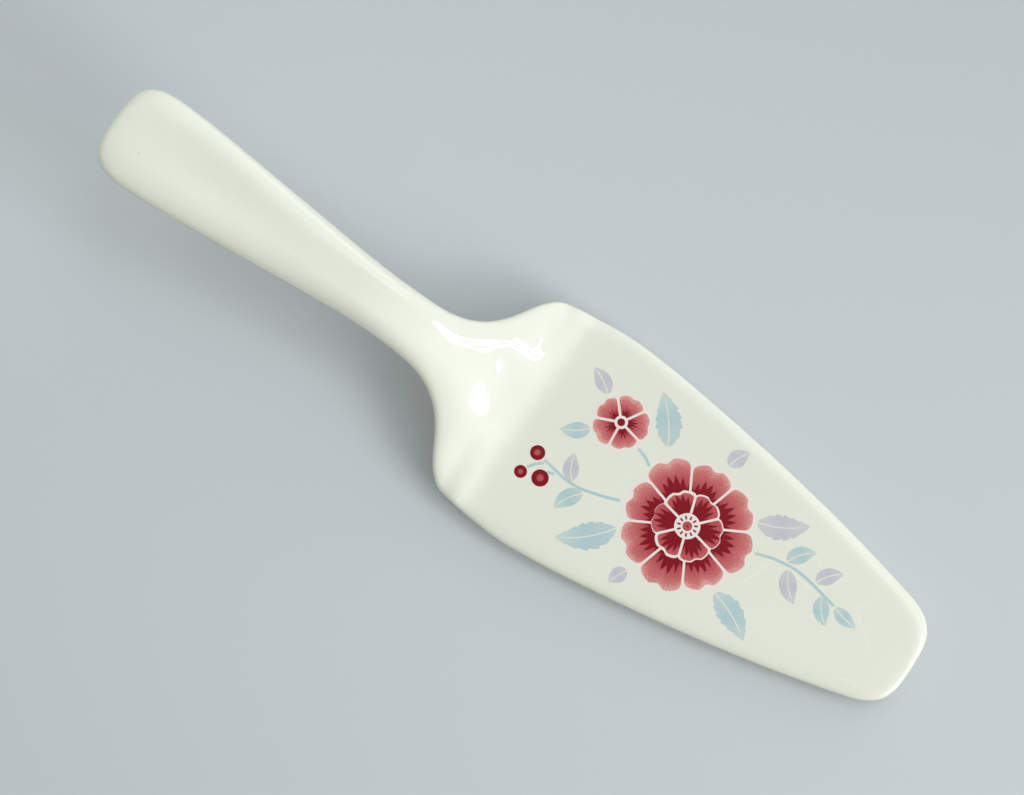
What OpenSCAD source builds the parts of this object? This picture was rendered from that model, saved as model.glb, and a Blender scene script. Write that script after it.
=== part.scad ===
// Cake server in glazed earthenware. A flat blunt-pointed blade turns up at a soft
// fold into a broad shoulder, which flares into a slim oval neck and a raised,
// widening handle with a shallow thumb hollow. The shoulder's wings fall a little to
// both sides of a shallow dish.
//
// The real one is a single casting. Its four sections are kept as separate solids
// that meet face to face on planes square to the length.
//
// The whole server is one loft: an outline (half width along the length), a middle
// line (height along the length) and a section that changes from a flat slab with
// rounded edges at the blade to a full oval at the neck and handle.

/* [Blade] */
// Length from the fold to the tip
blade_length = 126.5; // [100:0.5:170]
// Greatest width, a little in front of the fold
blade_width = 68; // [56:1:84]
// Thickness of the slab
blade_thickness = 6.4; // [5:0.1:8]
// Width of the rounding along the edges, measured inwards
blade_edge = 6.5; // [4:0.5:9]
// Length over which the blunt tip closes
tip_length = 14; // [8:1:22]

/* [Shoulder] */
// Width at the fold
fold_width = 66; // [52:1:80]
// Inner radius of the fold, on the middle line
fold_radius = 12; // [6:1:18]
// Slope of the shoulder in degrees
shoulder_angle = 28; // [18:0.5:34]
// Level length of the shoulder's straight slope, from the fold
shoulder_length = 30; // [24:1:38]
// Fall of the wings on both sides of the shoulder's middle, in degrees
wing_angle = 7; // [0:0.5:12]
// Depth of the shallow dish between the wings
dish_depth = 0.6; // [0:0.1:1.2]

/* [Neck] */
// Width at the narrowest place
neck_width = 16.7; // [12:0.1:22]
// Thickness at the narrowest place
neck_thickness = 11; // [8:0.5:14]
// Level distance from the fold to the narrowest place
neck_distance = 46.5; // [40:0.5:56]
// Radius of the long bend from the shoulder's slope to the handle's
bend_radius = 75; // [50:5:110]

/* [Handle] */
// Level distance from the fold to the butt
handle_reach = 132.5; // [116:0.5:154]
// Greatest width, near the butt
handle_width = 28.3; // [20:0.1:36]
// Thickness near the butt
handle_thickness = 8.8; // [7:0.2:12]
// Width of the rounding along the handle's edges near the butt, on top
handle_edge = 10; // [6:0.5:13]
// Slope of the handle in degrees
handle_angle = 8.25; // [2:0.25:14]
// Length over which the butt closes
butt_length = 15; // [8:1:20]
// Depth of the thumb hollow on top
hollow_depth = 0.8; // [0:0.1:1.6]
// Length of the thumb hollow
hollow_length = 66; // [30:1:80]

/* [Hidden] */

glaze_white = "#e4e8dc";

// How blunt the tip and the butt are: 2 is an ellipse, more is squarer
blunt_power = 3.6;
// Clay under the base plane, trimmed off to leave the blade's flat foot
foot_trim = 0.2;
// Overrun of the trimming block
overrun = 1;
// Part of the thickness that lies above the middle line, on blade and handle
flat_top_share = 0.5;
oval_top_share = 0.45;
// Width of the neck's rounding as shares of its half width, on top and below
crown_share = 0.56;
belly_share = 0.66;
// Width of the handle's rounding below, as a share of its half width near the butt
palm_share = 0.5;
// How square the rounding along the edges is on blade, neck and handle: 2 is a quarter
// ellipse, more is steeper at the rim and flatter inside
blade_rounding = 4;
neck_rounding = 2;
handle_rounding = 2.8;
// How late the edges turn round on the way from the fold to the neck: 1 is at once
late_power = 1.5;
// Wings, as shares of the half width at the fold: where they start to fall, and the
// width over which the fall sets in
wing_start_share = 0.288;
wing_turn_share = 0.182;
// Wings, as shares of the way from the fold to the neck: where the fall comes in, where
// its start moves inwards to the middle, and where it dies out
wing_in_shares = [0.02, 0.172];
wing_narrow_shares = [0.194, 0.559];
wing_out_shares = [0.645, 0.946];
// Dish: its middle and half length as shares of the way from the fold to the neck, and
// its half width as a share of the half width at the fold
dish_place_share = 0.204;
dish_reach_share = 0.194;
dish_width_share = 0.38;
// Middle of the thumb hollow, as a share of the way from the neck to the butt
hollow_place_share = 0.63;
// Half width of the hollow as a share of the handle's half width
hollow_width_share = 0.8;

// Widening of the handle: distance from the neck, and growth to the full width
grip_shares = [[1, 1], [0.845, 1], [0.695, 0.866], [0.545, 0.664], [0.395, 0.46],
    [0.245, 0.255], [0.12, 0.093]];
// Flare of the shoulder: distance from the fold, and growth from neck to fold width
flare_shares = [[1, 0], [0.87, 0.002], [0.77, 0.009], [0.68, 0.026], [0.59, 0.072], [0.52, 0.138],
    [0.45, 0.24], [0.37, 0.425], [0.28, 0.745], [0.19, 0.93], [0.1, 0.975], [0, 1]];
// Taper of the blade: distance from the fold, and part of the greatest width
taper_shares = [[0.047, 0.99], [0.11, 1], [0.206, 0.976], [0.348, 0.909], [0.482, 0.834],
    [0.609, 0.75], [0.743, 0.646], [0.87, 0.53], [1, 0.4]];

// Steps along the length in each stretch, and round a quarter of a section
butt_steps = 9;
handle_steps = 20;
neck_steps = 10;
shoulder_steps = 26;
fold_steps = 4;
blade_steps = 22;
tip_steps = 11;
edge_steps = 8;
flat_steps = 2;

// Half reach of the fold's rounding, and the level place where it meets the slope
fold_reach = fold_radius * tan(shoulder_angle / 2);
fold_end = fold_reach * cos(shoulder_angle);
// Where the long bend ends, and how far the middle line has risen there
bend_end = shoulder_length + bend_radius * (sin(shoulder_angle) - sin(handle_angle));
bend_rise = shoulder_length * tan(shoulder_angle)
    + bend_radius * (cos(handle_angle) - cos(shoulder_angle));
hollow_place = mix(neck_distance, handle_reach, hollow_place_share);
middle_x = (blade_length - handle_reach) / 2;

// Half widths along the length, from the butt to the tip
outline = concat(
    [for (s = grip_shares) [
        -mix(neck_distance, handle_reach, s[0]), mix(neck_width, handle_width, s[1]) / 2]],
    [for (s = flare_shares) [
        -s[0] * neck_distance, mix(neck_width, fold_width, s[1]) / 2]],
    [for (s = taper_shares) [s[0] * blade_length, s[1] * blade_width / 2]]);

function ease(u) = let (v = max(0, min(1, u))) v * v * (3 - 2 * v);
function mix(a, b, share) = a + (b - a) * share;
function bump(u) = abs(u) < 1 ? pow(1 - u * u, 2) : 0;
function grown(u, from_to) = ease((u - from_to[0]) / (from_to[1] - from_to[0]));
function spaced(a, b, steps) = [for (i = [1:steps]) mix(a, b, i / steps)];

// Slope of a table at one row, from the parabola through it and its neighbours
function chord(t, i) = (t[i + 1][1] - t[i][1]) / (t[i + 1][0] - t[i][0]);
function tangent(t, i) =
    i == 0 ? chord(t, 0)
    : i == len(t) - 1 ? chord(t, i - 1)
    : let (before = t[i][0] - t[i - 1][0], after = t[i + 1][0] - t[i][0])
      (chord(t, i - 1) * after + chord(t, i) * before) / (before + after);

// Smooth curve through a table's rows
function row_at(t, x, i = 0) = i >= len(t) - 2 || x < t[i + 1][0] ? i : row_at(t, x, i + 1);
function curve(t, x) =
    let (i = row_at(t, x), run = t[i + 1][0] - t[i][0], u = (x - t[i][0]) / run)
    t[i][1] * (1 + 2 * u) * pow(1 - u, 2) + t[i + 1][1] * u * u * (3 - 2 * u)
    + run * (tangent(t, i) * u * pow(1 - u, 2) - tangent(t, i + 1) * u * u * (1 - u));

// Slope angle of the middle line, at a distance behind the fold
function slope_at(d) =
    d < -fold_reach ? 0
    : d < fold_end ? asin((d + fold_reach) / fold_radius)
    : d < shoulder_length ? shoulder_angle
    : d < bend_end ? asin(sin(shoulder_angle) - (d - shoulder_length) / bend_radius)
    : handle_angle;

// Rise of the middle line over the blade's: level, fold, slope, bend, slope
function rise_at(d) =
    d < -fold_reach ? 0
    : d < fold_end ? fold_radius * (1 - cos(slope_at(d)))
    : d < shoulder_length ? d * tan(shoulder_angle)
    : d < bend_end ? shoulder_length * tan(shoulder_angle)
        + bend_radius * (cos(slope_at(d)) - cos(shoulder_angle))
    : bend_rise + (d - bend_end) * tan(handle_angle);

// Fall of the shoulder's wings below the middle line: none over a level middle, which
// narrows to nothing towards the neck, and a straight slope outside it
function wing_fall(d, y) =
    let (s = d / neck_distance,
        level = fold_width / 2 * wing_start_share * (1 - grown(s, wing_narrow_shares)),
        turn = fold_width / 2 * wing_turn_share,
        over = max(0, abs(y) - level))
    (over < turn ? over * over / (2 * turn) : over - turn / 2) * tan(wing_angle)
    * grown(s, wing_in_shares) * (1 - grown(s, wing_out_shares));

// Depth of the dish between the wings, and of the thumb hollow in the handle
function dish_at(d, y) = dish_depth
    * bump((d / neck_distance - dish_place_share) / dish_reach_share)
    * bump(y / (fold_width / 2 * dish_width_share));
function hollow_at(d, y, full) = hollow_depth
    * bump((d - hollow_place) / (hollow_length / 2)) * bump(y / (hollow_width_share * full));

// Places along the length, each with its half width. The ends close as a blunt
// superellipse whose places crowd towards the point.
function end_share(i, steps) = pow(sin(90 * i / steps), 2 / blunt_power);
function close_share(i, steps) = pow(cos(90 * i / steps), 2 / blunt_power);
function plain(xs) = [for (x = xs) [x, curve(outline, x)]];
function closing(start, reach, steps) = [for (i = [1:steps])
    let (x = start + reach * end_share(i, steps))
    [x, i == steps ? 0 : curve(outline, x) * close_share(i, steps)]];
function reversed(list) = [for (i = [len(list) - 1:-1:0]) list[i]];

stations = concat(
    reversed(closing(butt_length - handle_reach, -butt_length, butt_steps)),
    plain([butt_length - handle_reach]),
    plain(spaced(butt_length - handle_reach, -bend_end, handle_steps)),
    plain(spaced(-bend_end, -shoulder_length, neck_steps)),
    plain(spaced(-shoulder_length, -fold_end, shoulder_steps)),
    plain(spaced(-fold_end, 0, fold_steps)),
    plain(spaced(0, fold_reach, fold_steps)),
    plain(spaced(fold_reach, blade_length - tip_length, blade_steps)),
    closing(blade_length - tip_length, tip_length, tip_steps));

neck_start = butt_steps + handle_steps;
shoulder_start = neck_start + neck_steps;
blade_start = shoulder_start + shoulder_steps + fold_steps;
blade_end = len(stations) - 1;

// Slope of the outline at a station, from the stations on both sides
function flare_at(i) =
    (stations[i + 1][1] - stations[i - 1][1]) / (stations[i + 1][0] - stations[i - 1][0]);

// How much of the full thickness stands at a place across: none on the outline, all
// of it one edge width inside, with a quarter superellipse between. The distance to
// the outline allows for the outline's slope.
function lift(y, half, flare, edge, power) =
    let (inside = max(0, half * half - y * y),
        reach = edge * (half + sqrt(y * y + 3 * pow(half * flare, 2))),
        u = inside < reach ? inside / reach : 1)
    pow(1 - pow(1 - u, power), 1 / power);

// Places across from one edge to the middle: close together over the rounding
function across(half, flare, edge, power) =
    let (rounding = min(half, edge * sqrt(1 + flare * flare)), flat = half - rounding)
    concat(
        [for (k = [0:edge_steps]) flat + rounding * pow(cos(90 * k / edge_steps), 2 / power)],
        [for (k = [1:flat_steps]) flat * (1 - k / flat_steps)]);
function both_sides(places) = concat(places, [for (i = [len(places) - 2:-1:0]) -places[i]]);

// One closed section: over the top from one edge to the other, and back below
function section(i) =
    let (x = stations[i][0], half = stations[i][1], flare = flare_at(i), d = -x,
        oval = ease(d / neck_distance),
        grip = ease((d - neck_distance) / (handle_reach - neck_distance)),
        thickness = mix(mix(blade_thickness, neck_thickness, oval), handle_thickness, grip)
            / cos(slope_at(d)),
        top_share = mix(flat_top_share, oval_top_share, oval),
        full = curve(outline, x),
        rounder = pow(oval, late_power),
        crown = mix(mix(blade_edge, crown_share * full, rounder), handle_edge, grip),
        belly = mix(mix(blade_edge, belly_share * full, rounder), palm_share * full, grip),
        power = mix(mix(blade_rounding, neck_rounding, rounder), handle_rounding, grip),
        middle = blade_thickness * flat_top_share + rise_at(d),
        above = thickness * top_share,
        below = thickness * (1 - top_share) + foot_trim,
        over = both_sides(across(half, flare, crown, power)),
        under = both_sides(across(half, flare, belly, power)))
    concat(
        [for (y = over) [x, y, middle - wing_fall(d, y) - dish_at(d, y) - hollow_at(d, y, full)
            + above * lift(y, half, flare, crown, power)]],
        [for (k = [len(under) - 2:-1:1]) let (y = under[k])
            [x, y, middle - wing_fall(d, y) - below * lift(y, half, flare, belly, power)]]);

ring_size = 4 * (edge_steps + flat_steps);

// Skin between two neighbouring rings, as triangles that run clockwise seen from outside
function skin(first) = [for (k = [0:ring_size - 1])
    let (a = first + k, b = first + (k + 1) % ring_size)
    each [[a, a + ring_size, b], [b, a + ring_size, b + ring_size]]];

// Loft over a run of stations. A station of no width is a point that closes the end.
module loft(first, last) {
    start_point = stations[first][1] == 0;
    end_point = stations[last][1] == 0;
    ring_first = first + (start_point ? 1 : 0);
    ring_last = last - (end_point ? 1 : 0);
    rings = [for (i = [ring_first:ring_last]) each section(i)];
    count = ring_last - ring_first + 1;
    point = start_point ? stations[first][0] : stations[last][0];
    point_middle = blade_thickness * flat_top_share + rise_at(-point);
    apex = count * ring_size;
    base = (count - 1) * ring_size;
    start_faces = start_point
        ? [for (k = [0:ring_size - 1]) [k, (k + 1) % ring_size, apex]]
        : [[for (k = [0:ring_size - 1]) k]];
    end_faces = end_point
        ? [for (k = [0:ring_size - 1]) [base + (k + 1) % ring_size, base + k, apex]]
        : [[for (k = [ring_size - 1:-1:0]) base + k]];
    skins = [for (i = [0:count - 2]) each skin(i * ring_size)];
    polyhedron(
        points = concat(rings, start_point || end_point ? [[point, 0, point_middle]] : []),
        faces = concat(start_faces, skins, end_faces));
}

// Everything below the base plane under the blade and the shoulder
module trim_block() {
    translate([-shoulder_length - overrun, -blade_width, -blade_thickness])
        cube([shoulder_length + blade_length + 2 * overrun, 2 * blade_width, blade_thickness]);
}

module blade() {
    color(glaze_white) translate([-middle_x, 0, 0]) difference() {
        loft(blade_start, blade_end);
        trim_block();
    }
}

module shoulder() {
    color(glaze_white) translate([-middle_x, 0, 0]) difference() {
        loft(shoulder_start, blade_start);
        trim_block();
    }
}

module neck() {
    color(glaze_white) translate([-middle_x, 0, 0]) loft(neck_start, shoulder_start);
}

module handle() {
    color(glaze_white) translate([-middle_x, 0, 0]) loft(0, neck_start);
}

blade();
shoulder();
neck();
handle();
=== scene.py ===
import math

import bpy
import numpy as np
from mathutils import Matrix, Vector


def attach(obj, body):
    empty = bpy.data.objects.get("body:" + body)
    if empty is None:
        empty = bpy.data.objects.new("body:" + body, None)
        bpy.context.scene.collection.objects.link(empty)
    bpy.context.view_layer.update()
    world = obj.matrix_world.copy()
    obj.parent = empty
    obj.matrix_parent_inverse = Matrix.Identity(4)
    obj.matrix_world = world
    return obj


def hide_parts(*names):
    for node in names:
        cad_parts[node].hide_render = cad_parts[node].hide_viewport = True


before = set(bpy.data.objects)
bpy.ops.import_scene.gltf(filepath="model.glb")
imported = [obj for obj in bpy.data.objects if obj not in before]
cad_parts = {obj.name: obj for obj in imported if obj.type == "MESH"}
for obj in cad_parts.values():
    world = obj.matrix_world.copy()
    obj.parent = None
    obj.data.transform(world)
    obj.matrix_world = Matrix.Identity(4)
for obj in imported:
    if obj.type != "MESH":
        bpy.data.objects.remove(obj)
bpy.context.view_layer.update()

# Sizes of the server in millimetres, as in the part's source. x runs from the fold
# (0) to the tip, y across, z up from the table. d is the distance behind the fold.
TIP_X, BUTT_X = 126.5, -132.5
BLADE_WIDTH, BLADE_THICKNESS, BLADE_EDGE, TIP_LENGTH = 68, 6.4, 6.5, 14
FOLD_WIDTH, FOLD_RADIUS = 66, 12
SHOULDER_ANGLE, SHOULDER_LENGTH = math.radians(28), 30
WING_ANGLE, DISH_DEPTH = math.radians(7), 0.6
NECK_WIDTH, NECK_THICKNESS, NECK_DISTANCE, BEND_RADIUS = 16.7, 11, 46.5, 75
HANDLE_WIDTH, HANDLE_THICKNESS, HANDLE_EDGE = 28.3, 8.8, 10
HANDLE_ANGLE, BUTT_LENGTH = math.radians(8.25), 15
HOLLOW_DEPTH, HOLLOW_LENGTH = 0.8, 66
BLUNT_POWER, FOOT_TRIM = 3.6, 0.2
BLADE_ROUNDING, NECK_ROUNDING, HANDLE_ROUNDING = 4, 2, 2.8
FLAT_TOP_SHARE, OVAL_TOP_SHARE = 0.5, 0.45
CROWN_SHARE, BELLY_SHARE, PALM_SHARE, LATE_POWER = 0.56, 0.66, 0.5, 1.5
WING_START_SHARE, WING_TURN_SHARE = 0.288, 0.182
WING_IN_SHARES, WING_NARROW_SHARES, WING_OUT_SHARES = (0.02, 0.172), (0.194, 0.559), (0.645, 0.946)
DISH_PLACE_SHARE, DISH_REACH_SHARE, DISH_WIDTH_SHARE = 0.204, 0.194, 0.38
HOLLOW_PLACE_SHARE, HOLLOW_WIDTH_SHARE = 0.63, 0.8
GRIP_SHARES = [
    (1, 1), (0.845, 1), (0.695, 0.866), (0.545, 0.664), (0.395, 0.46), (0.245, 0.255),
    (0.12, 0.093)]
FLARE_SHARES = [
    (1, 0), (0.87, 0.002), (0.77, 0.009), (0.68, 0.026), (0.59, 0.072), (0.52, 0.138),
    (0.45, 0.24), (0.37, 0.425), (0.28, 0.745), (0.19, 0.93), (0.1, 0.975), (0, 1)]
TAPER_SHARES = [
    (0.047, 0.99), (0.11, 1), (0.206, 0.976), (0.348, 0.909), (0.482, 0.834),
    (0.609, 0.75), (0.743, 0.646), (0.87, 0.53), (1, 0.4)]

MIDDLE_X = (TIP_X + BUTT_X) / 2
GRIP_LENGTH = -BUTT_X - NECK_DISTANCE
FOLD_REACH = FOLD_RADIUS * math.tan(SHOULDER_ANGLE / 2)
FOLD_END = FOLD_REACH * math.cos(SHOULDER_ANGLE)
BEND_END = SHOULDER_LENGTH + BEND_RADIUS * (math.sin(SHOULDER_ANGLE) - math.sin(HANDLE_ANGLE))
HOLLOW_PLACE = NECK_DISTANCE + GRIP_LENGTH * HOLLOW_PLACE_SHARE

# How far the outline's and the slope's changes are rounded off, the part of the slope's
# that is rounded off much further, the step of the fine tables that hold them, how far
# they go on past the ends, and how many of its widths a bell curve reaches
OUTLINE_SOFTNESS, SLOPE_SOFTNESS, FAR_SOFTNESS, FAR_PART = 1.3, 1.4, 6, 0.2
FINE_STEP, FINE_MARGIN, BELL_REACH = 0.2, 12, 3

MM = 0.001


def mix(a, b, share):
    """The value that is a share of the way from a to b."""
    return a + (b - a) * share


def ease(u):
    """Goes from 0 to 1 with level ends: 3u² - 2u³ of u kept between 0 and 1."""
    v = np.clip(u, 0, 1)
    return v * v * (3 - 2 * v)


def grown(u, span):
    """Eases from 0 to 1 while u goes over a span."""
    return ease((u - span[0]) / (span[1] - span[0]))


def bump(u):
    """A mound that is 1 in the middle and level at both ends: (1 - u²)², 0 outside."""
    return np.clip(1 - u * u, 0, None) ** 2


def through(rows, x):
    """Curve through a table's rows: a cubic between each two rows, whose slope at a row
    is that of the parabola through it and its neighbours. Straight past the ends."""
    at, value = np.array(rows, float).T
    run = np.diff(at)
    chord = np.diff(value) / run
    inner = (chord[:-1] * run[1:] + chord[1:] * run[:-1]) / (run[:-1] + run[1:])
    slope = np.concatenate([chord[:1], inner, chord[-1:]])
    i = np.clip(np.searchsorted(at, x, side="right") - 1, 0, len(run) - 1)
    u = np.clip((x - at[i]) / run[i], 0, 1)
    cubic = (value[i] * (1 + 2 * u) * (1 - u) ** 2 + value[i + 1] * u * u * (3 - 2 * u)
             + run[i] * (slope[i] * u * (1 - u) ** 2 - slope[i + 1] * u * u * (1 - u)))
    past = slope[0] * np.minimum(x - at[0], 0) + slope[-1] * np.maximum(x - at[-1], 0)
    return cubic + past


def softened(values, width):
    """Running average of a fine table, weighted by a bell curve of that width. The
    table is carried on in a straight line at both ends first."""
    n = int(BELL_REACH * width / FINE_STEP)
    steps = np.arange(1, n + 1)
    weight = np.exp(-0.5 * (np.arange(-n, n + 1) * FINE_STEP / width) ** 2)
    before = values[0] - (values[1] - values[0]) * steps[::-1]
    after = values[-1] + (values[-1] - values[-2]) * steps
    return np.convolve(np.concatenate([before, values, after]), weight / weight.sum(), "valid")


def slope_at(d):
    """Slope of the middle line: level, an arc at the fold, the shoulder's straight
    slope, the long bend's arc, and the handle's straight slope."""
    steep, flat = math.sin(SHOULDER_ANGLE), math.sin(HANDLE_ANGLE)
    fold = np.arcsin(np.clip((d + FOLD_REACH) / FOLD_RADIUS, 0, steep))
    bend = np.arcsin(np.clip(steep - (d - SHOULDER_LENGTH) / BEND_RADIUS, flat, steep))
    return np.where(d < SHOULDER_LENGTH, fold, bend)


OUTLINE = (
    [(-mix(NECK_DISTANCE, -BUTT_X, s), mix(NECK_WIDTH, HANDLE_WIDTH, g) / 2)
     for s, g in GRIP_SHARES]
    + [(-s * NECK_DISTANCE, mix(NECK_WIDTH, FOLD_WIDTH, g) / 2) for s, g in FLARE_SHARES]
    + [(s * TIP_X, g * BLADE_WIDTH / 2) for s, g in TAPER_SHARES])

FINE_X = np.arange(BUTT_X - FINE_MARGIN, TIP_X + FINE_MARGIN, FINE_STEP)
FINE_HALF = softened(through(OUTLINE, FINE_X), OUTLINE_SOFTNESS)
FINE_SLOPE = mix(softened(slope_at(-FINE_X), SLOPE_SOFTNESS),
                 softened(slope_at(-FINE_X), FAR_SOFTNESS), FAR_PART)


def rise_table():
    """Height of the middle line over the blade's: the sum of the slope's steps, counted
    from the middle of the blade towards the butt."""
    steep = np.tan(FINE_SLOPE)
    fall = np.concatenate([[0], np.cumsum((steep[1:] + steep[:-1]) / 2) * FINE_STEP])
    return np.interp(TIP_X / 2, FINE_X, fall) - fall


FINE_RISE = rise_table()


def sizes_at(x):
    """Everything that a section needs at x: full half width, height of the middle line,
    thickness above and below it, and width of the edge's rounding above and below. The
    slab turns into an oval on the way to the neck."""
    d = -x
    oval, grip = ease(d / NECK_DISTANCE), ease((d - NECK_DISTANCE) / GRIP_LENGTH)
    full = np.interp(x, FINE_X, FINE_HALF)
    slab = mix(mix(BLADE_THICKNESS, NECK_THICKNESS, oval), HANDLE_THICKNESS, grip)
    thickness = slab / np.cos(np.interp(x, FINE_X, FINE_SLOPE))
    top = mix(FLAT_TOP_SHARE, OVAL_TOP_SHARE, oval)
    rounder = oval ** LATE_POWER
    return {
        "full": full,
        "middle": BLADE_THICKNESS * FLAT_TOP_SHARE + np.interp(x, FINE_X, FINE_RISE),
        "above": thickness * top,
        "below": thickness * (1 - top) + FOOT_TRIM,
        "crown": mix(mix(BLADE_EDGE, CROWN_SHARE * full, rounder), HANDLE_EDGE, grip),
        "belly": mix(mix(BLADE_EDGE, BELLY_SHARE * full, rounder), PALM_SHARE * full, grip),
        "power": mix(mix(BLADE_ROUNDING, NECK_ROUNDING, rounder), HANDLE_ROUNDING, grip)}


def wing_fall(d, y):
    """Fall of the shoulder's wings below the middle line: none over a level middle, which
    narrows to nothing towards the neck, and a straight slope outside it, which a
    parabola leads into."""
    s, half = d / NECK_DISTANCE, FOLD_WIDTH / 2
    level = half * WING_START_SHARE * (1 - grown(s, WING_NARROW_SHARES))
    turn = half * WING_TURN_SHARE
    over = np.clip(np.abs(y) - level, 0, None)
    fall = np.where(over < turn, over ** 2 / (2 * turn), over - turn / 2)
    return fall * math.tan(WING_ANGLE) * grown(s, WING_IN_SHARES) * (1 - grown(s, WING_OUT_SHARES))


def hollows(d, y, full):
    """Depth of the shoulder's dish and of the handle's thumb hollow: a mound upside down
    along times one across."""
    dish = (DISH_DEPTH * bump((d / NECK_DISTANCE - DISH_PLACE_SHARE) / DISH_REACH_SHARE)
            * bump(y / (FOLD_WIDTH / 2 * DISH_WIDTH_SHARE)))
    thumb = (HOLLOW_DEPTH * bump((d - HOLLOW_PLACE) / (HOLLOW_LENGTH / 2))
             * bump(y / (HOLLOW_WIDTH_SHARE * full)))
    return dish + thumb


def lift(y, half, flare, edge, power):
    """Share of the full thickness that stands at y: none on the outline, all of it one
    edge width inside, a quarter superellipse between. The distance to the outline is
    (half² - y²) / (half + root(y² + 3 half² flare²)): half - y where the outline runs
    straight, and less where it slopes."""
    inside = np.clip(half ** 2 - y ** 2, 0, None)
    reach = edge * (half + np.sqrt(y ** 2 + 3 * (half * flare) ** 2))
    u = np.where(inside < reach, inside / np.maximum(reach, 1e-9), 1)
    return (1 - (1 - u) ** power) ** (1 / power)


def upper_face(x, y, size, half, flare):
    """Height of the upper face: the middle line's, less the wings' fall, plus the
    thickness above it times lift, less the hollows."""
    lifted = size["above"] * lift(y, half, flare, size["crown"], size["power"])
    return size["middle"] - wing_fall(-x, y) + lifted - hollows(-x, y, size["full"])


def half_at(x):
    """Half width at x with both blunt ends: the full one times (1 - s^p)^(1/p), where s
    goes from 0 to 1 over an end."""
    s = np.maximum((x - TIP_X + TIP_LENGTH) / TIP_LENGTH, (BUTT_X + BUTT_LENGTH - x) / BUTT_LENGTH)
    blunt = (1 - np.clip(s, 0, 1) ** BLUNT_POWER) ** (1 / BLUNT_POWER)
    return np.interp(x, FINE_X, FINE_HALF) * blunt


def top_at(x, y):
    """Height of the upper face at any place along and across."""
    flare = (half_at(x + FINE_STEP) - half_at(x - FINE_STEP)) / (2 * FINE_STEP)
    return upper_face(x, y, sizes_at(x), half_at(x), flare)


def places_across(half, flare, edge, power, edge_steps, flat_steps):
    """Places from one edge to the other, a row for each section: crowded over the
    rounding by cos^(2/power), evenly spread over the flat between."""
    rounding = np.minimum(half, edge * np.sqrt(1 + flare ** 2))[:, None]
    flat = half[:, None] - rounding
    turn = np.linspace(0, math.pi / 2, edge_steps + 1)
    outer = flat + rounding * np.clip(np.cos(turn), 0, 1) ** (2 / power[:, None])
    inner = flat * (1 - np.arange(1, flat_steps + 1) / flat_steps)
    side = np.hstack([outer, inner])
    return np.hstack([side, -side[:, -2::-1]])


def blunt_end(start, reach, steps):
    """Places from start to the end of a blunt end, and the share of the half width
    there: a superellipse, sin^(2/p) along and cos^(2/p) across."""
    turn = np.linspace(0, math.pi / 2, steps + 1)[1:-1]
    return start + reach * np.sin(turn) ** (2 / BLUNT_POWER), np.cos(turn) ** (2 / BLUNT_POWER)


def spread(stops, steps):
    """Places from the first stop to the last, with a number of even steps to each."""
    runs = [np.linspace(a, b, n + 1)[1:] for a, b, n in zip(stops, stops[1:], steps)]
    return np.concatenate([stops[:1]] + runs)


def grid_faces(rows, columns, closed):
    """Four-sided faces of a grid of points, row after row. Closed grids also join the
    last column to the first."""
    last = columns if closed else columns - 1
    r, c = np.meshgrid(np.arange(rows - 1), np.arange(last), indexing="ij")
    a, b = r * columns + c, r * columns + (c + 1) % columns
    return np.stack([a, b, b + columns, a + columns], -1).reshape(-1, 4)


def make_mesh(name, points, quads, triangles=None, uv=None):
    """A smooth-shaded mesh object at the origin, from points in millimetres along the
    server, turned to metres in the frame. uv has a row for each point."""
    place = (np.asarray(points, float) - [MIDDLE_X, 0, 0]) * MM
    triangles = np.zeros((0, 3), int) if triangles is None else np.asarray(triangles)
    corners = np.concatenate([np.ravel(quads), np.ravel(triangles)]).astype(np.int32)
    sides = np.concatenate([np.full(len(quads), 4), np.full(len(triangles), 3)])
    mesh = bpy.data.meshes.new(name)
    mesh.vertices.add(len(place))
    mesh.vertices.foreach_set("co", place.astype(np.float32).ravel())
    mesh.loops.add(len(corners))
    mesh.loops.foreach_set("vertex_index", corners)
    mesh.polygons.add(len(sides))
    starts = np.concatenate([[0], np.cumsum(sides)[:-1]]).astype(np.int32)
    mesh.polygons.foreach_set("loop_start", starts)
    mesh.polygons.foreach_set("use_smooth", np.ones(len(sides), bool))
    if uv is not None:
        layer = mesh.uv_layers.new(name="spray")
        layer.data.foreach_set("uv", np.asarray(uv, np.float32)[corners].ravel())
    mesh.update(calc_edges=True)
    mesh.validate()
    piece = bpy.data.objects.new(name, mesh)
    bpy.context.scene.collection.objects.link(piece)
    return piece


# Steps along the length: butt, handle, neck, shoulder, two halves of the fold, blade, tip
LENGTH_STEPS = (34, 100, 60, 120, 24, 24, 140, 44)
# Steps over the rounding and over the flat, on top and below
TOP_STEPS, UNDER_STEPS = (22, 16), (16, 6)


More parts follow.
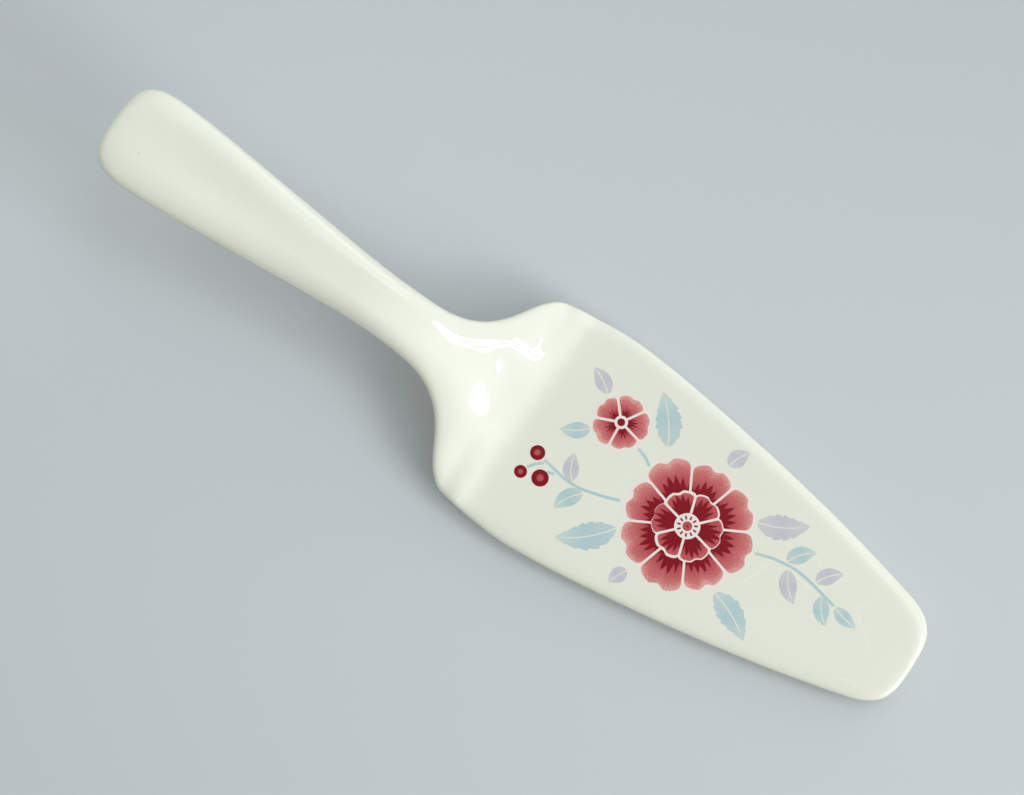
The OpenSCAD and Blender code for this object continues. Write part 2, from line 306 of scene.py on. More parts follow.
def server_body():
    """The whole casting as one closed skin. Sections stand at places along the length;
    each runs over the top from one edge to the other and back underneath, at middle
    height plus or minus thickness times lift. What would lie below the table is flat
    on it. One point closes the butt and one the tip."""
    butt_steps, *runs, tip_steps = LENGTH_STEPS
    tip, tip_share = blunt_end(TIP_X - TIP_LENGTH, TIP_LENGTH, tip_steps)
    butt, butt_share = blunt_end(BUTT_X + BUTT_LENGTH, -BUTT_LENGTH, butt_steps)
    stops = (BUTT_X + BUTT_LENGTH, -BEND_END, -SHOULDER_LENGTH, -FOLD_END, 0, FOLD_REACH,
             TIP_X - TIP_LENGTH)
    open_run = spread(stops, runs)
    x = np.concatenate([butt[::-1], open_run, tip])
    share = np.concatenate([butt_share[::-1], np.ones(len(open_run)), tip_share])
    size = sizes_at(x)
    half = size["full"] * share
    all_x, all_half = np.r_[BUTT_X, x, TIP_X], np.r_[0, half, 0]
    flare = (all_half[2:] - all_half[:-2]) / (all_x[2:] - all_x[:-2])
    column = {k: v[:, None] for k, v in size.items()}
    wide, steep = half[:, None], flare[:, None]
    over = places_across(half, flare, size["crown"], size["power"], *TOP_STEPS)
    under = places_across(half, flare, size["belly"], size["power"], *UNDER_STEPS)[:, -2:0:-1]
    along = x[:, None]
    top = upper_face(along, over, column, wide, steep)
    bottom = (column["middle"] - wing_fall(-along, under)
              - column["below"] * lift(under, wide, steep, column["belly"], column["power"]))
    y, z = np.hstack([over, under]), np.maximum(np.hstack([top, bottom]), 0)
    rows, columns = y.shape
    rings = np.stack([np.broadcast_to(x[:, None], y.shape), y, z], -1).reshape(-1, 3)
    ends = [[e, 0, BLADE_THICKNESS * FLAT_TOP_SHARE + np.interp(e, FINE_X, FINE_RISE)]
            for e in (BUTT_X, TIP_X)]
    k = np.arange(columns)
    after, first, last = (k + 1) % columns, rows * columns, (rows - 1) * columns
    caps = np.vstack([
        np.stack([after, k, np.full(columns, first)], -1),
        np.stack([last + k, last + after, np.full(columns, first + 1)], -1)])
    points, quads = np.vstack([rings, ends]), grid_faces(rows, columns, True)
    return make_mesh("server_body", points, quads, caps)


# The sprayed design in millimetres: how far the thin shells of colour stand out of the
# upper face and reach into it, the bare line that a stencil's bridge leaves, the pale
# border round the flowers, and the angle from which a shell's edge is shaded sharp
GROUND_PROUD, COLOUR_PROUD, SUNK, BRIDGE, HALO = 0.02, 0.04, 0.1, 0.7, 0.5
SHARP_EDGE = math.radians(40)
# Petals: share of the radius that the arc at the end takes, depth and half width of its
# notch, and how much the petals of a ring differ in length, by a sine of their number
PETAL_ARC, PETAL_NOTCH, NOTCH_WIDTH = 0.14, 0.06, 0.35
PETAL_SWAY, SWAY_STEP, SWAY_START = 0.04, 2.4, 0.7
# Flowers: middle, radius, number of petals, angle of the first, radius of the open
# middle, the bare line round the heart, and the short bars round its eye
BLOOM, BLOOM_RADIUS, BLOOM_PETALS, BLOOM_START = (55, -2), 18.5, 8, 0.1
HEART_RADIUS, HEART_PETALS, HEART_START, HEART_HOLE = 9.6, 6, 0.3, 3.6
HEART_BRIDGE = BRIDGE * 0.65
EYE_RADIUS, DASHES, DASH_REACH, DASH_WIDTH = 1.35, 11, (1.9, 2.9), 0.5
BLOSSOM, BLOSSOM_RADIUS, BLOSSOM_PETALS, BLOSSOM_START = (24, 12), 7.8, 5, 0.4
BLOSSOM_HOLE, BLOSSOM_EYE_RADIUS = 1.9, 1.1
BERRIES = [((9.5, -8), 2.1), ((14, -13.5), 2.4), ((8.5, -15), 1.8)]
STEMS = [
    [(12.1, -8.6), (22, -10), (30, -8.4), (35.8, -6.4)],
    [(16.6, -10.5), (15.4, -10.8), (14.6, -10.9)],
    [(12.6, -9.4), (10.8, -11), (9.3, -12.9)],
    [(32, 8.5), (34.8, 7.6), (37.3, 6.1)],
    [(74.4, 2.1), (80, 3.8), (88, 4.4), (100, 2)]]
STEM_WIDTH = 0.8
# Leaves: foot of the leaf, heading and turn in degrees, length, width and teeth a side
BLUE_LEAVES = [
    ((38.5, 13.5), 128, 26, 15.5, 7.2, 6), ((39, -13.5), 222, -30, 17, 7.6, 6),
    ((71.3, -13.2), -26, -26, 15, 7, 6), ((83, 5.1), 50, -40, 8.5, 4.2, 0),
    ((96.1, 2.3), -52, 40, 8, 4, 0), ((100.6, 1.8), -12, 20, 7.5, 3.4, 0),
    ((26.2, -10.6), 240, 40, 9, 4.4, 0), ((17.8, 5.8), 214, -30, 8.5, 4.2, 0)]
LILAC_LEAVES = [
    ((55.5, 18.4), 66, -30, 7, 4.4, 0), ((48, -21.4), 246, 20, 6, 3.8, 0),
    ((70.5, 9.6), 30, 30, 14.5, 7, 6), ((84.6, 3.45), -50, 40, 9.5, 4.4, 0),
    ((92.6, 4.7), 50, -40, 8, 4, 0), ((21.9, -9.3), 118, -40, 8, 4, 0),
    ((16.5, 16.6), 150, 30, 8.5, 4.2, 0)]
# Width of a leaf's bare rib, share of its length over which the rib closes at the tip,
# half width of the tip, the two powers of its lens, and depth of its teeth
LEAF_RIB, RIB_CLOSING, LEAF_TIP, TOOTH_DEPTH = 0.35, 0.25, 0.05, 0.2
LENS_LEAN, LENS_FULLNESS = 0.8, 0.9
# Rows along a leaf for each tooth, or in all where it has none, and columns across a half
TOOTH_ROWS, PLAIN_ROWS, HALF_COLUMNS = 12, 33, 7
# Spray coordinate along each kind of patch, at its inner and its outer end: the higher,
# the paler its colour. Then the middle of the spray coordinate across a patch
WHOLE_SHADE, BLOOM_SHADE, HEART_SHADE, EYE_SHADE = (0, 1), (0.05, 1), (-0.1, 0.55), (0.2, 0.4)
BLOSSOM_SHADE, BLOSSOM_EYE_SHADE, BERRY_SHADE = (0.1, 1), (0, 0.2), (0.5, 0.05)
STEM_SHADE, DASH_SHADE = (0.2, 0.6), 0.1
MID_SPRAY = 0.5


def petal_rim(turn, count, radius, start):
    """Distance from the middle to the rim of a ring of petals at each angle: each petal
    ends in an arc that falls to its sides as half a circle does, with a shallow notch."""
    v = ((turn - start) / (math.tau / count) + 0.5) % 1 * 2 - 1
    arc = 1 - PETAL_ARC + PETAL_ARC * np.sqrt(np.clip(1 - v * v, 0, 1))
    return radius * (arc - PETAL_NOTCH * bump(v / NOTCH_WIDTH))


def rim_beyond(count, radius, start, margin):
    """The rim of a ring of petals moved out by a margin, as a function of the angle."""
    return lambda turn: petal_rim(turn, count, radius, start) + margin


def petal_ring(middle, count, radius, start, inner, shade, rows=18, columns=33):
    """A ring of petals, each as x, y and spray coordinates. A petal reaches from inner,
    a radius or a function of the angle, to its rim, and is narrower than its sector by a
    bridge that is equally wide all along. shade is the spray coordinate at both ends."""
    petals = []
    u, v = np.linspace(0, 1, rows)[:, None], np.linspace(-1, 1, columns)[None, :]
    sector = math.tau / count
    for k in range(count):
        edge = start + k * sector + v * sector / 2
        sway = 1 + PETAL_SWAY * math.sin(SWAY_STEP * k + SWAY_START)
        outer = petal_rim(edge, count, radius, start) * sway
        low = inner(edge) if callable(inner) else inner
        r = low + (outer - low) * u
        turn = start + k * sector + v * (sector / 2 - BRIDGE / 2 / r)
        petals.append((middle[0] + r * np.cos(turn), middle[1] + r * np.sin(turn),
                       mix(*shade, u + 0 * v), v / 2 + MID_SPRAY + 0 * u))
    return petals


def round_patch(middle, rim, shade, steps=13):
    """A disc, or a patch whose rim is a radius at each angle: a square grid drawn out to a
    circle, x = u root(1 - v²/2) and y = v root(1 - u²/2), times the rim."""
    u, v = np.linspace(-1, 1, steps)[:, None], np.linspace(-1, 1, steps)[None, :]
    x, y = u * np.sqrt(1 - v * v / 2), v * np.sqrt(1 - u * u / 2)
    reach = rim(np.arctan2(y, x)) if callable(rim) else rim
    return (middle[0] + reach * x, middle[1] + reach * y,
            mix(*shade, np.hypot(x, y)), MID_SPRAY + 0 * x)


def leaf_halves(foot, heading, turn, length, width, teeth):
    """A leaf as two halves with a bare rib between. The rib is an arc that turns by an
    angle, each half is width times a lens, sin(pi s^0.8)^0.9, and its edge has teeth:
    straight ramps that drop back to the full width."""
    rows = TOOTH_ROWS * teeth + 1 if teeth else PLAIN_ROWS
    s, t = np.linspace(0, 1, rows)[:, None], np.linspace(0, 1, HALF_COLUMNS)[None, :]
    h, b = math.radians(heading), math.radians(turn)
    way = h + b * (s - 0.5)
    x = foot[0] + length / b * (np.sin(way) - math.sin(h - b / 2))
    y = foot[1] - length / b * (np.cos(way) - math.cos(h - b / 2))
    lens = np.sin(math.pi * s ** LENS_LEAN) ** LENS_FULLNESS
    half = LEAF_TIP + width / 2 * lens * (1 - TOOTH_DEPTH * (teeth * s % 1))
    halves = []
    for side in (1, -1):
        out = side * (LEAF_RIB / 2 * np.clip((1 - s) / RIB_CLOSING, 0, 1) + half * t)
        halves.append((x - np.sin(way) * out, y + np.cos(way) * out,
                       s + 0 * t, MID_SPRAY + side * t / 2 + 0 * s))
    return halves


def stem_band(points, rows=41, columns=3):
    """A narrow band of even width along a curve through points."""
    t = np.linspace(0, len(points) - 1, rows)
    x, y = (through(list(enumerate(values)), t) for values in zip(*points))
    way = np.arctan2(np.gradient(y), np.gradient(x))[:, None]
    out = np.linspace(-0.5, 0.5, columns)[None, :] * STEM_WIDTH
    shade = np.linspace(*STEM_SHADE, rows)[:, None] + 0 * out
    return (x[:, None] - np.sin(way) * out, y[:, None] + np.cos(way) * out,
            shade, MID_SPRAY + 0 * shade)


def dash_ring(rows=5, columns=4):
    """Short bars round the bloom's eye, each a sliver of a ring."""
    bars = []
    r = np.linspace(*DASH_REACH, rows)[:, None]
    side = np.linspace(-0.5, 0.5, columns)[None, :] * DASH_WIDTH
    for k in range(DASHES):
        turn = k * math.tau / DASHES + side / r
        bars.append((BLOOM[0] + r * np.cos(turn), BLOOM[1] + r * np.sin(turn),
                     DASH_SHADE + 0 * turn, MID_SPRAY + 0 * turn))
    return bars


def spray_shells(name, patches, proud, material):
    """One piece of thin closed shells on the upper face, one for each patch. Over each
    grid lies an upper skin, proud of the face, and under it a lower one, sunk into it,
    and a wall joins their rims. Grids that turn the other way are mirrored first."""
    points, quads, uvs, count = [], [], [], 0
    for x, y, u, v in patches:
        run = np.gradient(x, axis=0) * np.gradient(y, axis=1)
        side = np.gradient(x, axis=1) * np.gradient(y, axis=0)
        if (side - run).sum() < 0:
            x, y, u, v = (grid[:, ::-1] for grid in (x, y, u, v))
        rows, columns = x.shape
        number = np.arange(rows * columns).reshape(rows, columns)
        rim = np.concatenate([
            number[0, :-1], number[:-1, -1], number[-1, :0:-1], number[:0:-1, 0]])
        after, under = np.roll(rim, -1), rows * columns
        upper = grid_faces(rows, columns, False)
        walls = np.stack([after, rim, rim + under, after + under], -1)
        z = top_at(x, y)
        for level in (proud, -SUNK):
            points.append(np.stack([x, y, z + level], -1).reshape(-1, 3))
            uvs.append(np.stack([u, v], -1).reshape(-1, 2))
        quads.append(np.vstack([upper, upper[:, ::-1] + under, walls]) + count)
        count += 2 * under
    piece = make_mesh(name, np.vstack(points), np.vstack(quads), uv=np.vstack(uvs))
    piece.data.set_sharp_from_angle(angle=SHARP_EDGE)
    piece.data.materials.append(material)
    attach(piece, "root")


def linear(hex_colour):
    """An sRGB colour, written as in #rrggbb, as linear red, green, blue and 1."""
    parts = [int(hex_colour[i:i + 2], 16) / 255 for i in (1, 3, 5)]
    return [c / 12.92 if c <= 0.04045 else ((c + 0.055) / 1.055) ** 2.4 for c in parts] + [1]


def add(tree, kind, inputs, output=0, **settings):
    """Adds one node with its settings and inputs, and returns one of its outputs, or the
    node itself where output is None. Inputs go by number or name, and each is a number,
    a list of numbers, a hex colour or another node's output."""
    node = tree.nodes.new("ShaderNode" + kind)
    for key, value in settings.items():
        setattr(node, key, value)
    for key, value in inputs.items():
        if isinstance(value, bpy.types.NodeSocket):
            tree.links.new(value, node.inputs[key])
        else:
            node.inputs[key].default_value = linear(value) if isinstance(value, str) else value
    return node if output is None else node.outputs[output]


def new_material(name):
    """A new material, and its node tree without any node."""
    material = bpy.data.materials.new(name)
    material.use_nodes = True
    material.node_tree.nodes.clear()
    return material, material.node_tree


# A metre in millimetres: a pattern of a size in millimetres has the scale METRE / size.
# Then the value about which noise goes up and down
METRE, NOISE_MIDDLE = 1000, 0.5
# Relief of the glaze in millimetres: the size of each kind of unevenness and its height.
# Hairlines run where a slow noise is within a share of its middle value, and only inside
# the patches of another, with a border of this crispness
WAVE_SIZE, WAVE_HEIGHT = 18, 0.02
RIPPLE_SIZE, RIPPLE_HEIGHT = 3.2, 0.0022
HAIRLINE_SIZE, HAIRLINE_SHARE, HAIRLINE_HEIGHT = 30, 0.009, 0.018
PATCH_SIZE, PATCH_CRISPNESS = 30, 12.0
GLAZE_IOR, GLAZE_ROUGHNESS = 1.52, 0.03


def glaze_relief(tree, place):
    """Relief of the clear glaze as a normal: slow waves where it ran, a faint ripple, and
    a few wavy hairlines, the contour lines of a slow noise. place is Object coordinates,
    so the relief runs on unbroken over colours and bare body. Returns the normal and where
    the hairlines are."""
    wave = add(tree, "TexNoise", {"Vector": place, "Scale": METRE / WAVE_SIZE, "Detail": 1.0})
    ripple = add(tree, "TexNoise", {
        "Vector": place, "Scale": METRE / RIPPLE_SIZE, "Detail": 1.0})
    slow = add(tree, "TexNoise", {
        "Vector": place, "Scale": METRE / HAIRLINE_SIZE, "Detail": 1.5, "Roughness": 0.4})
    off = add(tree, "Math", {0: slow, 1: NOISE_MIDDLE}, operation="SUBTRACT")
    away = add(tree, "Math", {0: off}, operation="ABSOLUTE")
    apart = add(tree, "Math", {0: away, 1: HAIRLINE_SHARE}, operation="DIVIDE")
    line = add(tree, "Math", {0: 1.0, 1: apart}, operation="SUBTRACT", use_clamp=True)
    patch = add(tree, "TexNoise", {"Vector": place, "Scale": METRE / PATCH_SIZE, "Detail": 0.0})
    above = add(tree, "Math", {0: patch, 1: NOISE_MIDDLE}, operation="SUBTRACT")
    some = add(tree, "Math", {0: above, 1: PATCH_CRISPNESS}, operation="MULTIPLY", use_clamp=True)
    hairline = add(tree, "Math", {0: line, 1: some}, operation="MULTIPLY")
    height = add(tree, "Math", {0: wave, 1: WAVE_HEIGHT * MM}, operation="MULTIPLY")
    for amount, size in ((ripple, RIPPLE_HEIGHT), (hairline, HAIRLINE_HEIGHT)):
        part = add(tree, "Math", {0: amount, 1: size * MM}, operation="MULTIPLY")
        height = add(tree, "Math", {0: height, 1: part}, operation="ADD")
    normal = add(tree, "Bump", {"Height": height, "Strength": 1.0, "Distance": 1.0})
    return normal, hairline


def glaze_over(tree, colour, normal):
    """Makes a colour under the glossy clear glaze the surface of a tree's material."""
    shader = add(tree, "BsdfPrincipled", {
        "Base Color": colour, "Normal": normal, "IOR": GLAZE_IOR, "Roughness": GLAZE_ROUGHNESS})
    add(tree, "OutputMaterial", {"Surface": shader}, None)


# Size in millimetres of the slow shifts of the ivory's tone, and how far a hairline pales
# it. Specks: the size of the cells that may hold one, its radius as a share of that, the
# share of cells that do, and its strength. Where the kiln's stilts left the underside bare
TONE_SIZE, HAIRLINE_TINT = 30, 0.3
SPECK_SPACING, SPECK_RADIUS, SPECK_CHANCE, SPECK_STRENGTH = 7.5, 0.034, 0.4, 0.5
STILT_MARKS, STILT_RADIUS = [(80, 0), (20, 18), (20, -18)], 0.8


def glazed_earthenware():
    """Ivory earthenware under a glossy clear glaze, a touch yellow, as fired clay with a
    little iron is. Slow shifts of tone, a few specks and paler hairlines keep it from
    looking like plastic. Three bare spots below are where it stood on the kiln's stilts."""
    material, tree = new_material("glazed_earthenware")
    place = add(tree, "TexCoord", {}, "Object")
    normal, hairline = glaze_relief(tree, place)
    tone = add(tree, "TexNoise", {"Vector": place, "Scale": METRE / TONE_SIZE, "Detail": 2.0})
    ivory = add(tree, "Mix", {0: tone, 6: "#e2e2d2", 7: "#e8e7da"}, 2, data_type="RGBA")
    cell = add(tree, "TexVoronoi", {
        "Vector": place, "Scale": METRE / SPECK_SPACING, "Randomness": 1.0}, None).outputs
    small = add(tree, "Math", {0: cell["Distance"], 1: SPECK_RADIUS}, operation="LESS_THAN")
    chance = add(tree, "SeparateColor", {"Color": cell["Color"]})
    rare = add(tree, "Math", {0: chance, 1: SPECK_CHANCE}, operation="LESS_THAN")
    both = add(tree, "Math", {0: small, 1: rare}, operation="MULTIPLY")
    speck = add(tree, "Math", {0: both, 1: SPECK_STRENGTH}, operation="MULTIPLY")
    tint = add(tree, "Math", {0: hairline, 1: HAIRLINE_TINT}, operation="MULTIPLY")
    spots = [(speck, "#9c9b86"), (tint, "#f0f0e6")]
    for x, y in STILT_MARKS:
        centre = [(x - MIDDLE_X) * MM, y * MM, 0]
        apart = add(tree, "VectorMath", {0: place, 1: centre}, "Value", operation="DISTANCE")
        bare = add(tree, "Math", {0: apart, 1: STILT_RADIUS * MM}, operation="LESS_THAN")
        spots.append((bare, "#cdb994"))
    for share, colour in spots:
        ivory = add(tree, "Mix", {0: share, 6: ivory, 7: colour}, 2, data_type="RGBA")
    glaze_over(tree, ivory, normal)
    return material


# Grain of the spray in millimetres, coarser than real droplets so that it shows, and how
# far it and the slow shift from place to place move the shade
GRAIN_SIZE, GRAIN_SHARE, SHIFT_SIZE, SHIFT_SHARE = 0.38, 0.6, 7, 0.3
# Second coat on the petals: tongues across a petal, how far the middle one reaches along
# it, how much less those at the sides do, how deep the notches are and how crisp the edge
FLAME_TONGUES, FLAME_REACH, FLAME_DROP, FLAME_NOTCH, FLAME_CRISPNESS = 5, 0.64, 0.5, 0.28, 14.0


def second_coat(tree, shade, across):
    """Where the second coat lies: at the foot of a petal, up to an edge of pointed
    tongues, a zigzag across the petal, which falls in a straight line to both sides."""
    off = add(tree, "Math", {0: across, 1: MID_SPRAY}, operation="SUBTRACT")
    aside = add(tree, "Math", {0: off}, operation="ABSOLUTE")
    drop = add(tree, "Math", {0: aside, 1: FLAME_DROP}, operation="MULTIPLY")
    reach = add(tree, "Math", {0: FLAME_REACH, 1: drop}, operation="SUBTRACT")
    zigzag = add(tree, "Math", {0: across, 1: 0.5 / FLAME_TONGUES}, operation="PINGPONG")
    notch = add(tree, "Math", {
        0: zigzag, 1: 2 * FLAME_TONGUES * FLAME_NOTCH}, operation="MULTIPLY")
    edge = add(tree, "Math", {0: reach, 1: notch}, operation="SUBTRACT")
    inside = add(tree, "Math", {0: edge, 1: shade}, operation="SUBTRACT")
    return add(tree, "Math", {0: inside, 1: FLAME_CRISPNESS}, operation="MULTIPLY", use_clamp=True)


def sprayed(name, stops, flame=None):
    """Underglaze colour that was sprayed through a stencil. Its shade runs through stops,
    pairs of a share and a colour, along the spray coordinate u, shifts slowly from place
    to place and has the fine grain of droplets. flame is the colour of a second coat,
    whose edge has no grain."""
    material, tree = new_material(name)
    place = add(tree, "TexCoord", {}, "Object")
    spray = add(tree, "UVMap", {}, uv_map="spray")
    along, across, _ = add(tree, "SeparateXYZ", {"Vector": spray}, None).outputs
    shades = [along]
    for size, share in ((SHIFT_SIZE, SHIFT_SHARE), (GRAIN_SIZE, GRAIN_SHARE)):
        noise = add(tree, "TexNoise", {"Vector": place, "Scale": METRE / size, "Detail": 1.0})
        off = add(tree, "Math", {0: noise, 1: NOISE_MIDDLE}, operation="SUBTRACT")
        part = add(tree, "Math", {0: off, 1: share}, operation="MULTIPLY")
        shades.append(add(tree, "Math", {0: shades[-1], 1: part}, operation="ADD"))
    shifted, grained = shades[1:]
    ramp = add(tree, "ValToRGB", {"Fac": grained}, None)
    elements = ramp.color_ramp.elements
    for share, _ in stops[1:-1]:
        elements.new(share)
    for element, (share, colour) in zip(elements, stops):
        element.position, element.color = share, linear(colour)
    colour = ramp.outputs[0]
    if flame:
        coat = second_coat(tree, shifted, across)
        colour = add(tree, "Mix", {0: coat, 6: colour, 7: flame}, 2, data_type="RGBA")
    glaze_over(tree, colour, glaze_relief(tree, place)[0])
    return material


def crimson_spray():
    """Crimson under the glaze, deepest at the foot of a petal, thinning through dusty
    rose to pale pink at its rim. It gives the eye the one strong colour."""
    stops = [(0.1, "#a53d45"), (0.5, "#bb595c"), (0.8, "#cb7371"), (1.0, "#dda39b")]
    return sprayed("crimson_underglaze_spray", stops, "#851b26")


def blue_leaf_spray():
    """Blue-grey under the glaze, so thin that the ivory shows through towards the tips."""
    stops = [(0.1, "#c1cdcc"), (0.5, "#b0c8cb"), (1.0, "#c9d5cf")]
    return sprayed("blue_grey_underglaze_spray", stops)


def lilac_leaf_spray():
    """Lilac-grey under the glaze, the palest of the colours."""
    stops = [(0.1, "#c9c9cb"), (0.5, "#c4bfc8"), (1.0, "#cfd0cd")]
    return sprayed("lilac_grey_underglaze_spray", stops)


def petal_ground():
    """The pinkish white that shows between petals and as a fine halo round them."""
    return sprayed("pink_white_underglaze", [(0.0, "#f0e2dc"), (1.0, "#efdfda")])


def plain_floor():
    """A pale matt table top, plain on purpose."""
    material, tree = new_material("pale_table")
    shader = add(tree, "BsdfPrincipled", {
        "Base Color": "#c6c9cc", "Roughness": 0.8, "Specular IOR Level": 0.2})
    add(tree, "OutputMaterial", {"Surface": shader}, None)
    return material


def glazed_casting():
    """The skin of the whole server, which stands for its four solids."""
    body = server_body()
    body.data.materials.append(glazed_earthenware())
    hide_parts("blade", "shoulder", "neck", "handle")
    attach(body, "root")


def sprayed_design():
    """The colours on the blade: one open bloom with its heart, a small blossom, three
    berries, and leaves round them and on thin stems. The pale ground of both flowers lies
    under their petals."""
    crimson, blue, lilac = crimson_spray(), blue_leaf_spray(), lilac_leaf_spray()
    bloom_rim = rim_beyond(BLOOM_PETALS, BLOOM_RADIUS, BLOOM_START, HALO)
    blossom_rim = rim_beyond(BLOSSOM_PETALS, BLOSSOM_RADIUS, BLOSSOM_START, HALO)
    heart_rim = rim_beyond(HEART_PETALS, HEART_RADIUS, HEART_START, HEART_BRIDGE)
    grounds = [round_patch(BLOOM, bloom_rim, WHOLE_SHADE, steps=97),
               round_patch(BLOSSOM, blossom_rim, WHOLE_SHADE, steps=49)]
    bloom = petal_ring(BLOOM, BLOOM_PETALS, BLOOM_RADIUS, BLOOM_START, heart_rim, BLOOM_SHADE)
    heart = petal_ring(BLOOM, HEART_PETALS, HEART_RADIUS, HEART_START, HEART_HOLE, HEART_SHADE)
    heart += [round_patch(BLOOM, EYE_RADIUS, EYE_SHADE)] + dash_ring()
    blossom = petal_ring(BLOSSOM, BLOSSOM_PETALS, BLOSSOM_RADIUS, BLOSSOM_START, BLOSSOM_HOLE,
                         BLOSSOM_SHADE)
    blossom += [round_patch(BLOSSOM, BLOSSOM_EYE_RADIUS, BLOSSOM_EYE_SHADE)]
    berries = [round_patch(*berry, BERRY_SHADE) for berry in BERRIES]
    blue_parts = [half for leaf in BLUE_LEAVES for half in leaf_halves(*leaf)]
    blue_parts += [stem_band(stem) for stem in STEMS]
    lilac_parts = [half for leaf in LILAC_LEAVES for half in leaf_halves(*leaf)]
    spray_shells("bloom_ground", grounds, GROUND_PROUD, petal_ground())
    spray_shells("bloom_petals", bloom, COLOUR_PROUD, crimson)
    spray_shells("bloom_heart", heart, COLOUR_PROUD, crimson)
    spray_shells("blossom_petals", blossom, COLOUR_PROUD, crimson)
    spray_shells("berries", berries, COLOUR_PROUD, crimson)
    spray_shells("blue_leaves", blue_parts, COLOUR_PROUD, blue)
    spray_shells("lilac_leaves", lilac_parts, COLOUR_PROUD, lilac)


# The floor in metres: half its side, and how far it lies below the server's foot
FLOOR_REACH, FLOOR_GAP = 4.0, 0.0004


def table_top():
    """The floor, one square."""
    mesh = bpy.data.meshes.new("table_top")
    corners = [(x * FLOOR_REACH, y * FLOOR_REACH, -FLOOR_GAP)
               for x, y in ((-1, -1), (1, -1), (1, 1), (-1, 1))]
    mesh.from_pydata(corners, [], [(0, 1, 2, 3)])
    mesh.materials.append(plain_floor())
    floor = bpy.data.objects.new("table_top", mesh)
    bpy.context.scene.collection.objects.link(floor)


def area_light(name, place, aim, size, power, colour, turn=0.0):
    """A soft rectangular lamp at a place in metres that looks at aim, unseen itself. size
    is its width and height, and turn its lean."""
    lamp = bpy.data.lights.new(name, "AREA")
    lamp.shape, (lamp.size, lamp.size_y) = "RECTANGLE", size
    lamp.energy, lamp.color = power, linear(colour)[:3]
    holder = bpy.data.objects.new(name, lamp)
    look = (Vector(aim) - Vector(place)).to_track_quat("-Z", "Y").to_matrix().to_4x4()
    holder.matrix_world = Matrix.Translation(place) @ look @ Matrix.Rotation(turn, 4, "Z")
    holder.visible_camera = False
    bpy.context.scene.collection.objects.link(holder)
    return holder


def sky_place(azimuth, elevation, distance):
    """A place at an azimuth from +X towards +Y, an elevation and a distance."""
    a, e = math.radians(azimuth), math.radians(elevation)
    return (distance * math.cos(a) * math.cos(e), distance * math.sin(a) * math.cos(e),
            distance * math.sin(e))


# The window is small and low, beyond the tip: its panes lie as a streak along the neck's
# flank and a sliver on the shoulder. Azimuth and elevation, distance, width and height,
# power in all, lean, panes across and up, and width of a mullion
WINDOW_SKY, WINDOW_DISTANCE, WINDOW_SIZE, WINDOW_POWER = (15, 30), 1.0, (0.148, 0.61), 2.1
WINDOW_TURN, PANES, MULLION, WINDOW_COLOUR = math.radians(-31), (3, 1), 0.02, "#f2f5ff"


def window_panes():
    """The window as a grid of lamps in one plane that looks at the origin, leaning to one
    side, with a mullion between each two panes."""
    centre = Vector(sky_place(*WINDOW_SKY, WINDOW_DISTANCE))
    away = centre.normalized()
    lean = Matrix.Rotation(WINDOW_TURN, 3, away)
    across = lean @ Vector((0, 0, 1)).cross(away).normalized()
    upward = away.cross(across)
    pitch = [size / count for size, count in zip(WINDOW_SIZE, PANES)]
    glass = [side - MULLION for side in pitch]
    share = WINDOW_POWER / (PANES[0] * PANES[1])
    for i in range(PANES[0]):
        for j in range(PANES[1]):
            place = (centre + across * (i - (PANES[0] - 1) / 2) * pitch[0]
                     + upward * (j - (PANES[1] - 1) / 2) * pitch[1])
            area_light(f"pane_{i}_{j}", place, place - away, glass, share, WINDOW_COLOUR,
                       WINDOW_TURN)


# The soft boxes: place and aim in metres, width and height, power, and what their grids
# leave of the light's spread
TIP_BOX_SKY, TIP_BOX_DISTANCE, TIP_BOX_SIZE, TIP_BOX_POWER = (-8, 24), 1.0, (0.4, 0.4), 0.48
BUTT_BOX_PLACE, BUTT_BOX_AIM = (-0.3, 0, 0.45), (-0.12, 0, 0.03)
BUTT_BOX_SIZE, BUTT_BOX_POWER = (0.25, 0.25), 0.028
BOX_COLOUR, BOX_SPREAD = "#eef4f3", math.radians(50)


def soft_boxes():
    """Two gridded soft boxes, which brighten the ends a little against the fold: one low
    beyond the tip, one above the butt that no glaze mirrors. Their grids keep them off
    the table and off the other end."""
    tip_place = sky_place(*TIP_BOX_SKY, TIP_BOX_DISTANCE)
    tip_box = area_light(
        "tip_box", tip_place, (0, 0, 0), TIP_BOX_SIZE, TIP_BOX_POWER, BOX_COLOUR)
    butt_box = area_light(
        "butt_box", BUTT_BOX_PLACE, BUTT_BOX_AIM, BUTT_BOX_SIZE, BUTT_BOX_POWER, BOX_COLOUR)
    butt_box.visible_glossy = False
    for box in (tip_box, butt_box):
        box.data.spread = BOX_SPREAD


# The sky: strength and colour of its even part, colour of its glows, and the power of the
# sine of the elevation by which it darkens. Glows: azimuth and elevation, narrowness and
# gain, in turn a wide and a narrow low one beyond the far edge, a high one that shines in
# the fold, one round the window, and one behind the butt
SKY_BASE, SKY_COLOUR, GLOW_COLOUR, CEILING_POWER = 0.385, "#f5f5ee", "#e9f2f6", 8.0
SKY_GLOWS = [
    ((93, 22), 7.0, 1.2), ((88, 20), 60.0, 1.6), ((62, 64), 24.0, 3.6), ((8, 33), 21.0, 1.5),
    ((180, 48), 10.0, 1.2)]


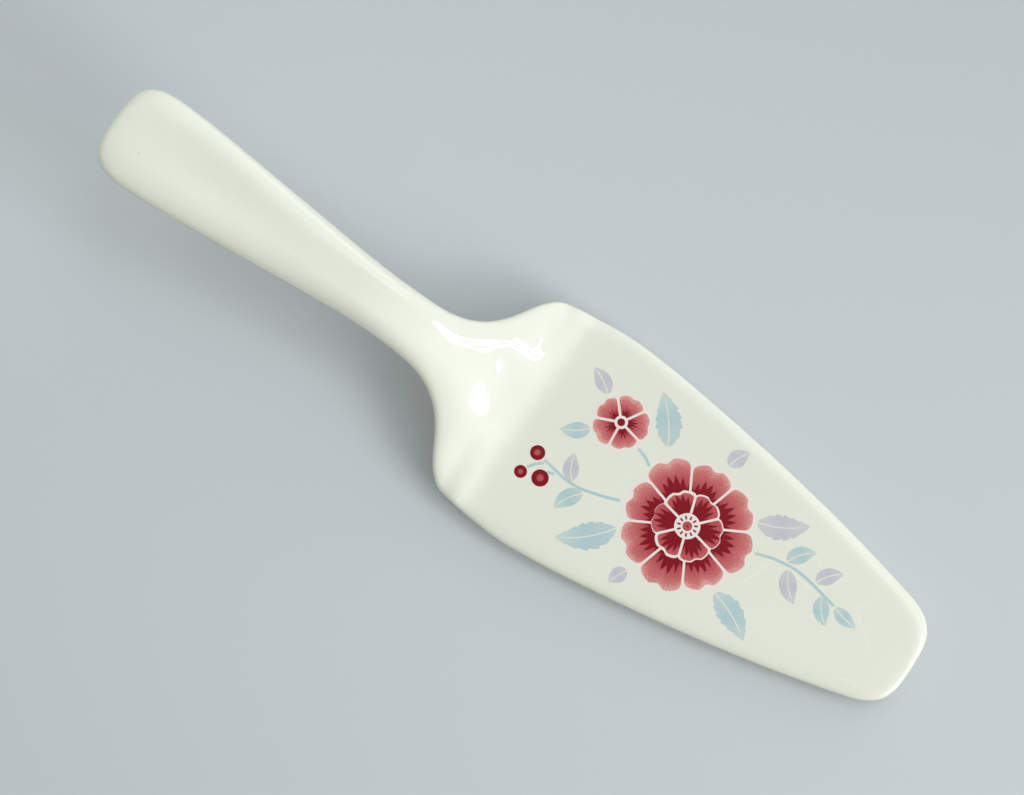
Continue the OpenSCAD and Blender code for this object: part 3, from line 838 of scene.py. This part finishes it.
def studio_sky():
    """An even sky that grows dark overhead, so that the level blade mirrors little and
    its colours stay deep, and smooth brighter parts of it, each by a power of the cosine
    of the angle from its middle."""
    world = bpy.data.worlds.new("studio")
    world.use_nodes = True
    tree = world.node_tree
    tree.nodes.clear()
    sky = add(tree, "TexCoord", {}, "Generated")
    height = add(tree, "SeparateXYZ", {"Vector": sky}, 2)
    overhead = add(tree, "Math", {0: height, 1: 0.0}, operation="MAXIMUM")
    ceiling = add(tree, "Math", {0: overhead, 1: CEILING_POWER}, operation="POWER")
    open_sky = add(tree, "Math", {0: 1.0, 1: ceiling}, operation="SUBTRACT")
    even = add(tree, "Math", {0: open_sky, 1: SKY_BASE}, operation="MULTIPLY")
    level = 0.0
    for direction, power, gain in SKY_GLOWS:
        middle = sky_place(*direction, 1)
        cosine = add(tree, "VectorMath", {0: sky, 1: middle}, "Value", operation="DOT_PRODUCT")
        facing = add(tree, "Math", {0: cosine, 1: 0.0}, operation="MAXIMUM")
        glow = add(tree, "Math", {0: facing, 1: power}, operation="POWER")
        part = add(tree, "Math", {0: glow, 1: gain}, operation="MULTIPLY")
        level = add(tree, "Math", {0: part, 1: level}, operation="ADD")
    glows = add(tree, "Math", {0: level, 1: open_sky}, operation="MULTIPLY")
    both = add(tree, "AddShader", {
        0: add(tree, "Background", {"Color": SKY_COLOUR, "Strength": even}),
        1: add(tree, "Background", {"Color": GLOW_COLOUR, "Strength": glows})})
    add(tree, "OutputWorld", {"Surface": both}, None)
    bpy.context.scene.world = world


# Camera at the photograph's angle: place and aim in metres, the direction that is up in
# the picture, and a lens whose view is 31.8 degrees wide
CAMERA_PLACE = Vector((0.0544, -0.06678, 0.50027))
CAMERA_AIM = Vector((-0.00284, 0.00176, 0.0))
PICTURE_UP = Vector((-0.5492, 0.8172, 0.1748))
SENSOR_WIDTH, LENS = 36, 63.28


def photo_camera():
    """The camera, turned so that it looks at its aim with the picture's up direction."""
    data = bpy.data.cameras.new("camera")
    data.sensor_width, data.lens = SENSOR_WIDTH, LENS
    camera = bpy.data.objects.new("camera", data)
    back = (CAMERA_PLACE - CAMERA_AIM).normalized()
    right = PICTURE_UP.cross(back).normalized()
    turned = Matrix((right, back.cross(right), back)).transposed()
    camera.matrix_world = Matrix.Translation(CAMERA_PLACE) @ turned.to_4x4()
    bpy.context.scene.collection.objects.link(camera)
    bpy.context.scene.camera = camera


glazed_casting()
sprayed_design()
table_top()
window_panes()
soft_boxes()
studio_sky()
photo_camera()
bpy.context.scene.view_settings.view_transform = "Standard"
